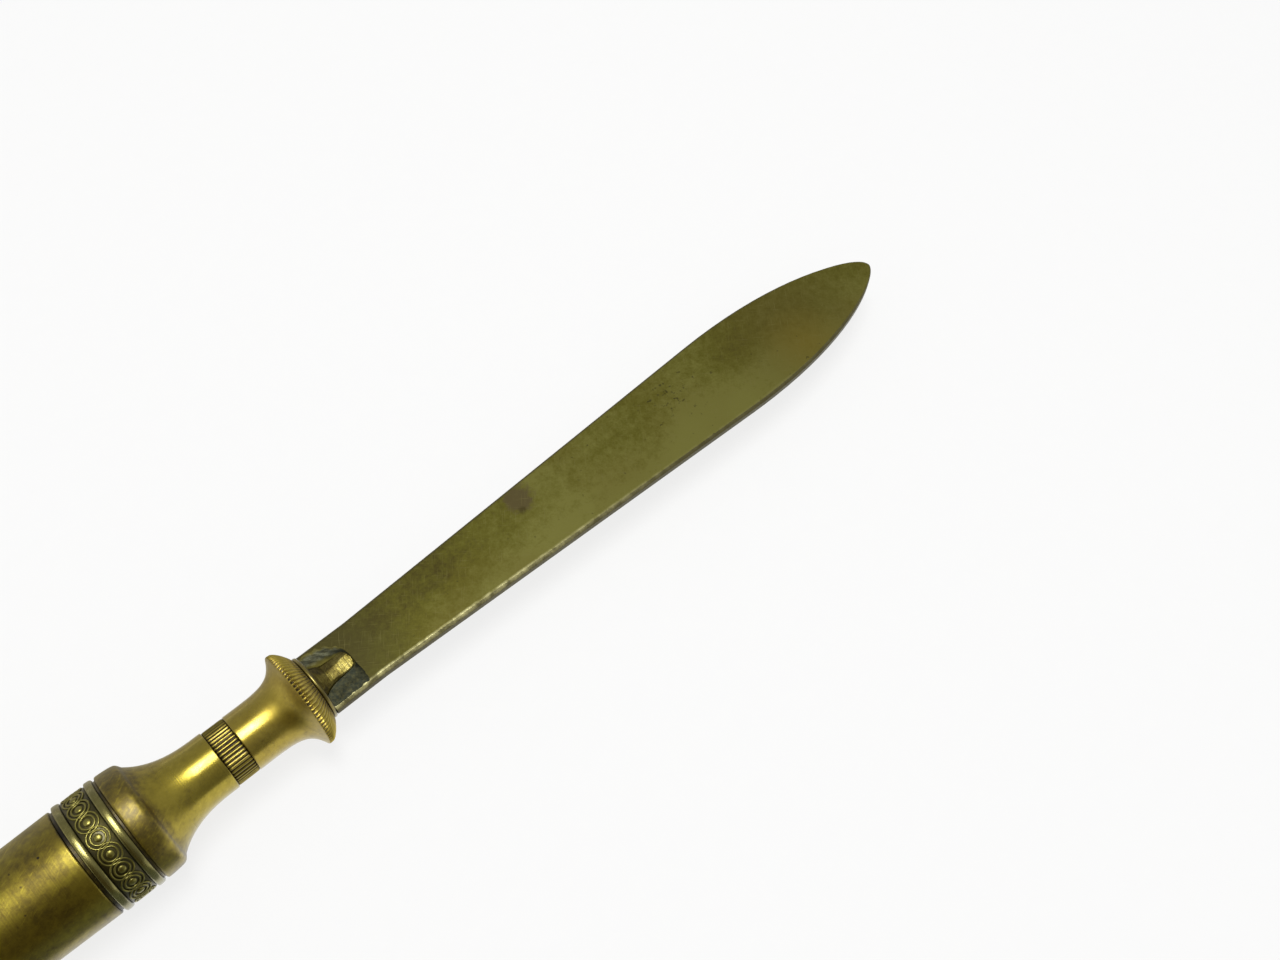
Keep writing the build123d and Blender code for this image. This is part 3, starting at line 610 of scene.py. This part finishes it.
# tone along and across the blade; the darker root is painted shade
for axis, (start, end), (atStart, atEnd) in blade["zones"]:
    zone = addNode(tree, "ShaderNodeMapRange",
                   {"From Min": start * mm, "From Max": end * mm, "To Min": atStart, "To Max": atEnd},
                   {"Value": spot.outputs[axis]})
    tone = addNode(tree, "ShaderNodeMath", {"operation": "ADD"}, {0: tone, 1: zone})
even = addNode(tree, "ShaderNodeMapRange", {"From Min": blade["toneRange"][0], "From Max": blade["toneRange"][1]},
               {"Value": tone})
olive = addNode(tree, "ShaderNodeValToRGB", {"stops": blade["colours"]}, {"Fac": even})
shifted = addNode(tree, "ShaderNodeMapping", {"Location": blade["brownShift"]}, {"Vector": place})
hue = addNode(tree, "ShaderNodeTexNoise", {"Scale": 1000 / blade["brownMm"], "Detail": 2.0}, {"Vector": shifted})
warm = addNode(tree, "ShaderNodeMapRange",
               {"From Min": blade["brownCut"][0], "From Max": blade["brownCut"][1], "To Max": blade["brownMost"]},
               {"Value": hue})
colour = addNode(tree, "ShaderNodeMix", {"data_type": "RGBA", 7: linear(blade["brown"])},
                 {0: warm, 6: olive}).outputs[2]
patterns = {"mottle": mottle, "grain": grain}
for where, size, tint, (start, end), most, uneven, pattern in blade["marks"]:
    centred = addNode(tree, "ShaderNodeMapping",
                      {"vector_type": "TEXTURE", "Location": Vector(where) * mm, "Scale": (size * mm,) * 3},
                      {"Vector": place})
    reach = addNode(tree, "ShaderNodeTexGradient", {"gradient_type": "SPHERICAL"}, {"Vector": centred})
    ragged = addNode(tree, "ShaderNodeMath", {"operation": "MULTIPLY_ADD", 1: uneven},
                     {0: patterns[pattern], 2: reach})
    inside = addNode(tree, "ShaderNodeMapRange",
                     {"From Min": start + uneven / 2, "From Max": end + uneven / 2, "To Max": most},
                     {"Value": ragged})
    near = addNode(tree, "ShaderNodeMath", {"operation": "GREATER_THAN", 1: 0.0}, {0: reach})
    within = addNode(tree, "ShaderNodeMath", {"operation": "MULTIPLY"}, {0: inside, 1: near})
    colour = addNode(tree, "ShaderNodeMix", {"data_type": "RGBA", 7: linear(tint)}, {0: within, 6: colour}).outputs[2]
# a field of pits
centred = addNode(tree, "ShaderNodeMapping",
                  {"vector_type": "TEXTURE", "Location": Vector(blade["pitsAt"]) * mm,
                   "Scale": (blade["pitsMm"] * mm,) * 3}, {"Vector": place})
field = addNode(tree, "ShaderNodeTexGradient", {"gradient_type": "SPHERICAL"}, {"Vector": centred})
holes = addNode(tree, "ShaderNodeTexNoise", {"Scale": 1000 / blade["pitMm"], "Detail": 2.0, "Roughness": 0.6},
                {"Vector": place})
some = addNode(tree, "ShaderNodeMath", {"operation": "MULTIPLY_ADD", 1: blade["pitsMore"]}, {0: field, 2: holes})
pitted = addNode(tree, "ShaderNodeMapRange",
                 {"From Min": blade["pitCut"][0], "From Max": blade["pitCut"][1], "To Max": blade["pitMost"]},
                 {"Value": some})
colour = addNode(tree, "ShaderNodeMix", {"data_type": "RGBA", 7: linear(blade["pit"])},
                 {0: pitted, 6: colour}).outputs[2]
# fine scratches in two directions, paler than the tarnish
for turn, seed in blade["scratchTurns"]:
    drawn = addNode(tree, "ShaderNodeMapping",
                    {"vector_type": "TEXTURE", "Location": (seed, seed, 0.0), "Rotation": (0, 0, radians(turn)),
                     "Scale": (blade["scratchMm"][0] * mm, blade["scratchMm"][1] * mm, 1.0)}, {"Vector": place})
    lines = addNode(tree, "ShaderNodeTexNoise", {"Scale": 1.0, "Detail": 1.0}, {"Vector": drawn})
    scratch = addNode(tree, "ShaderNodeMapRange",
                      {"From Min": blade["scratchCut"][0], "From Max": blade["scratchCut"][1],
                       "To Max": blade["scratchMost"]}, {"Value": lines})
    colour = addNode(tree, "ShaderNodeMix", {"data_type": "RGBA", 7: linear(blade["scratch"])},
                     {0: scratch, 6: colour}).outputs[2]
# edges: painted shade darkens the sides; the bevels are paler, partly bare metal and partly painted highlight, and a
# painted highlight line runs along the bevel and the face edge of the near side
# painted shade: the sides, which turn away from the light, are darkened in colour
flank = addNode(tree, "ShaderNodeMath", {"operation": "ABSOLUTE"}, {0: facing.outputs["Z"]})
sideShade = addNode(tree, "ShaderNodeMapRange",
                 {"From Min": blade["sideShadeCut"][0], "From Max": blade["sideShadeCut"][1], "To Min": blade["sideShadeMost"],
                  "To Max": 0.0}, {"Value": flank})
colour = addNode(tree, "ShaderNodeMix", {"data_type": "RGBA", 7: linear(blade["side"])},
                 {0: sideShade, 6: colour}).outputs[2]
bevelled = addNode(tree, "ShaderNodeMapRange",
                   {"From Min": blade["bevelCut"][0], "From Max": blade["bevelCut"][1], "To Min": 1.0, "To Max": 0.0},
                   {"Value": flank})
# the painted highlight line is laid only on the bevel that faces the near side
litSide = addNode(tree, "ShaderNodeMapRange",
                   {"From Min": blade["litSideCut"][0], "From Max": blade["litSideCut"][1], "To Min": 1.0, "To Max": 0.0},
                   {"Value": facing.outputs["Y"]})
notSide = addNode(tree, "ShaderNodeMath", {"operation": "SUBTRACT", 0: 1.0}, {1: sideShade})
bevel = addNode(tree, "ShaderNodeMath", {"operation": "MULTIPLY"}, {0: bevelled, 1: notSide})
rise = addNode(tree, "ShaderNodeMath", {"operation": "SUBTRACT", 1: axisHeight * mm}, {0: spot.outputs["Z"]})
offMiddle = addNode(tree, "ShaderNodeMath", {"operation": "ABSOLUTE"}, {0: rise})
# painted highlight along the near bevel and the face edge beside it, strongest towards the root, broken by the mottle
crest = addNode(tree, "ShaderNodeMapRange",
                {"From Min": blade["crestMm"][0] * mm, "From Max": blade["crestMm"][1] * mm,
                 "To Min": blade["crestLeast"]}, {"Value": offMiddle})
highlightAlongX = addNode(tree, "ShaderNodeMapRange",
                  {"From Min": blade["highlightX"][0] * mm, "From Max": blade["highlightX"][1] * mm, "To Min": 1.0,
                   "To Max": blade["highlightLeast"]}, {"Value": spot.outputs["X"]})
litBevel = addNode(tree, "ShaderNodeMath", {"operation": "MULTIPLY"}, {0: bevel, 1: litSide})
atCrest = addNode(tree, "ShaderNodeMath", {"operation": "MULTIPLY"}, {0: crest, 1: highlightAlongX})
edgeHighlight = addNode(tree, "ShaderNodeMath", {"operation": "MULTIPLY"}, {0: litBevel, 1: atCrest})
pastRoot = addNode(tree, "ShaderNodeMapRange",
                   {"From Min": blade["taperX"][0] * mm, "From Max": blade["taperX"][1] * mm,
                    "To Max": blade["taperMm"] * mm}, {"Value": spot.outputs["X"]})
nearEdge = addNode(tree, "ShaderNodeMath", {"operation": "ADD"}, {0: spot.outputs["Y"], 1: pastRoot})
onFace = addNode(tree, "ShaderNodeMapRange",
                 {"From Min": blade["highlightY"][0] * mm, "From Max": blade["highlightY"][1] * mm, "To Min": blade["highlightMost"],
                  "To Max": 0.0}, {"Value": nearEdge})
flat = addNode(tree, "ShaderNodeMapRange", {"From Min": blade["bevelCut"][0], "From Max": blade["bevelCut"][1]},
               {"Value": flank})
faceHighlightFlat = addNode(tree, "ShaderNodeMath", {"operation": "MULTIPLY"}, {0: onFace, 1: flat})
faceHighlight = addNode(tree, "ShaderNodeMath", {"operation": "MULTIPLY"}, {0: faceHighlightFlat, 1: highlightAlongX})
edgeHighlight = addNode(tree, "ShaderNodeMath", {"operation": "MAXIMUM"}, {0: edgeHighlight, 1: faceHighlight})
broken = addNode(tree, "ShaderNodeMapRange",
                 {"From Min": blade["brokenCut"][0], "From Max": blade["brokenCut"][1],
                  "To Min": blade["brokenLeast"]}, {"Value": mottle})
paintedHighlight = addNode(tree, "ShaderNodeMath", {"operation": "MULTIPLY", "use_clamp": True}, {0: edgeHighlight, 1: broken})
# the paler bevels and the pale near-edge line are painted highlight
for layer, share in (("bevel", bevel), ("rubbed", paintedHighlight)):
    colour = addNode(tree, "ShaderNodeMix", {"data_type": "RGBA", 7: linear(blade[layer])},
                     {0: share, 6: colour}).outputs[2]
sunk = addNode(tree, "ShaderNodeMath", {"operation": "MULTIPLY_ADD", 1: blade["pitDepth"]}, {0: pitted, 2: grain})
soft = addNode(tree, "ShaderNodeBevel", {"samples": 4, "Radius": blade["softMm"] * mm})
relief = addNode(tree, "ShaderNodeBump", {"Strength": blade["relief"], "Distance": blade["reliefMm"] * mm},
                 {"Height": sunk, "Normal": soft})
dull = addNode(tree, "ShaderNodeMapRange", {"To Min": blade["dull"], "To Max": blade["gloss"]}, {"Value": even})
rough = addNode(tree, "ShaderNodeMath", {"operation": "MULTIPLY_ADD", 1: blade["bevelDuller"], "use_clamp": True},
                {0: bevel, 2: dull})
# bare metal at the bevel and along the painted highlight line, a dull skin of tarnish elsewhere
bare = addNode(tree, "ShaderNodeMath", {"operation": "MAXIMUM"}, {0: bevel, 1: paintedHighlight})
metal = addNode(tree, "ShaderNodeMapRange", {"To Min": blade["tarnished"], "To Max": 1.0}, {"Value": bare})
shader = addNode(tree, "ShaderNodeBsdfPrincipled", {"Specular IOR Level": blade["specular"]},
                 {"Base Color": colour, "Metallic": metal, "Roughness": rough, "Normal": relief})
addNode(tree, "ShaderNodeOutputMaterial", None, {"Surface": shader})
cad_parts["blade"].data.materials.clear()
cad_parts["blade"].data.materials.append(bladeBrass)
print("blade finished")

# Table, light and camera
stage = {
    "size": 4.0, "paper": [(0.0, "#ececea"), (1.0, "#f2f2f0")], "paperMm": 3.0, "cardMm": 20.0, "cardUneven": 0.2,
    "white": 0.8, "world": 0.4, "worldDark": 0.22, "darkY": (-0.95, -0.6), "worldBack": 0.45, "backX": (-0.9, -0.35),
    "boxes": [{"name": "softbox", "size": (0.093, 0.27), "place": (0.0385, -0.012, 0.62), "turn": 0, "power": 1.5},
              {"name": "softboxEdge", "size": (0.3, 0.24), "place": (0.045, 0.06, 0.63), "turn": -30, "power": 0.66}],
}
bpy.ops.object.select_all(action="DESELECT")
bpy.ops.mesh.primitive_plane_add(size=stage["size"])
table = bpy.context.active_object
table.name = "table"
# Matt white paper: plain and pale, so that only the opener and its soft shadow draw the eye
paper, tree = startMaterial("matt white paper sweep")
place = addNode(tree, "ShaderNodeTexCoord").outputs["Object"]
fibre = addNode(tree, "ShaderNodeTexNoise", {"Scale": 1000 / stage["paperMm"], "Detail": 2.0}, {"Vector": place})
tint = addNode(tree, "ShaderNodeValToRGB", {"stops": stage["paper"]}, {"Fac": fibre})
matt = addNode(tree, "ShaderNodeBsdfPrincipled", {"Roughness": 0.9, "Specular IOR Level": 0.1}, {"Base Color": tint})
white = addNode(tree, "ShaderNodeEmission", {"Color": (1, 1, 1, 1), "Strength": 1.0})
ray = addNode(tree, "ShaderNodeLightPath")
seen = addNode(tree, "ShaderNodeMath", {"operation": "MAXIMUM"},
               {0: ray.outputs["Is Camera Ray"], 1: ray.outputs["Is Glossy Ray"]})
share = addNode(tree, "ShaderNodeMath", {"operation": "MULTIPLY", 1: stage["white"]}, {0: seen})
sheet = addNode(tree, "ShaderNodeMixShader", None, {0: share, 1: matt, 2: white})
addNode(tree, "ShaderNodeOutputMaterial", None, {"Surface": sheet})
table.data.materials.append(paper)

# A softbox over the neck, and its dimmer edge, so that highlights run out softly
for box in stage["boxes"]:
    lamp = bpy.data.lights.new(box["name"], "AREA")
    lamp.shape = "RECTANGLE"
    lamp.size, lamp.size_y = box["size"]
    lamp.energy = box["power"]
    lampObject = bpy.data.objects.new(box["name"], lamp)
    lampObject.location = box["place"]
    lampObject.rotation_euler.z = radians(box["turn"])
    bpy.context.collection.objects.link(lampObject)

# Dull cards beside the handle, two of them warm, seen only in the metal: they give its round sides their dark streaks
boards = [
    {"name": "boardLow", "low": (-0.22, -0.075, 0.0004), "high": (-0.031, -0.0125, 0.0004), "tone": 0.22,
     "tint": "#f4fff2"},
    {"name": "boardStanding", "low": (-0.26, -0.075, 0.0), "high": (-0.034, -0.075, 0.2), "tone": 0.11,
     "tint": "#ffe8b4"},
    {"name": "boardFar", "low": (-0.22, 0.0125, 0.0004), "high": (0.12, 0.16, 0.0004), "tone": 0.45,
     "tint": "#fff7dc"},
]
for board in boards:
    low, high = Vector(board["low"]), Vector(board["high"])
    bpy.ops.mesh.primitive_plane_add(size=1.0)
    plane = bpy.context.active_object
    plane.name = board["name"]
    for vertex in plane.data.vertices:
        share = Vector((vertex.co.x + 0.5, vertex.co.y + 0.5, vertex.co.y + 0.5))
        vertex.co = Vector([low[i] + (high[i] - low[i]) * share[i] for i in range(3)])
    card, tree = startMaterial("warm grey card")
    place = addNode(tree, "ShaderNodeTexCoord").outputs["Object"]
    fibre = addNode(tree, "ShaderNodeTexNoise", {"Scale": 1000 / stage["cardMm"]}, {"Vector": place})
    level = addNode(tree, "ShaderNodeMapRange",
                    {"To Min": (1 - stage["cardUneven"]) * board["tone"],
                     "To Max": (1 + stage["cardUneven"]) * board["tone"]}, {"Value": fibre})
    glow = addNode(tree, "ShaderNodeEmission", {"Color": linear(board["tint"])}, {"Strength": level})
    addNode(tree, "ShaderNodeOutputMaterial", None, {"Surface": glow})
    plane.data.materials.append(card)
    plane.visible_camera = plane.visible_diffuse = plane.visible_shadow = False
    plane.visible_transmission = plane.visible_volume_scatter = False

# Soft room light, darker towards the near side and brighter behind the handle, white to the camera
world = bpy.data.worlds.new("studio")
bpy.context.scene.world = world
world.use_nodes = True
tree = world.node_tree
tree.nodes.clear()
toward = addNode(tree, "ShaderNodeTexCoord").outputs["Generated"]
axes = addNode(tree, "ShaderNodeSeparateXYZ", None, {0: toward})
side = addNode(tree, "ShaderNodeMapRange",
               {"From Min": stage["darkY"][0], "From Max": stage["darkY"][1], "To Min": stage["worldDark"],
                "To Max": stage["world"]}, {"Value": axes.outputs["Y"]})
back = addNode(tree, "ShaderNodeMapRange",
               {"From Min": stage["backX"][0], "From Max": stage["backX"][1], "To Min": stage["worldBack"],
                "To Max": 0.0}, {"Value": axes.outputs["X"]})
both = addNode(tree, "ShaderNodeMath", {"operation": "ADD"}, {0: side, 1: back})
ray = addNode(tree, "ShaderNodeLightPath")
shown = addNode(tree, "ShaderNodeMath", {"operation": "MAXIMUM"}, {0: both, 1: ray.outputs["Is Camera Ray"]})
wall = addNode(tree, "ShaderNodeBackground", {"Color": (1, 1, 1, 1)}, {"Strength": shown})
addNode(tree, "ShaderNodeOutputWorld", None, {"Surface": wall})

# The camera looks down at the opener from the handle's side, 24 degrees off the vertical
view = {"foot": -31.1, "distance": 180.0, "roll": 24.0, "tilt": 22.61, "slant": 37.31, "lens": 36.56, "sensor": 36.0,
        "near": 0.01, "shift": (0.0152, -0.0198)}
roll, tilt, slant = (radians(view[key]) for key in ("roll", "tilt", "slant"))
lift = Vector((0, -sin(roll), cos(roll)))
ahead = Vector((1, 0, 0))
looking = sin(tilt) * ahead - cos(tilt) * lift
alongBlade = cos(tilt) * ahead + sin(tilt) * lift
square = (-looking).cross(alongBlade)
right = cos(slant) * alongBlade - sin(slant) * square
up = sin(slant) * alongBlade + cos(slant) * square
lens = bpy.data.cameras.new("camera")
lens.sensor_width = view["sensor"]
lens.lens = view["lens"]
lens.shift_x, lens.shift_y = view["shift"]
lens.clip_start = view["near"]
camera = bpy.data.objects.new("camera", lens)
standing = Matrix.Translation(Vector((view["foot"], 0, axisHeight)) * mm + lift * view["distance"] * mm)
camera.matrix_world = standing @ Matrix((right, up, -looking)).transposed().to_4x4()
bpy.context.collection.objects.link(camera)
bpy.context.scene.camera = camera
bpy.context.scene.view_settings.view_transform = "Standard"
print("stage and camera set")
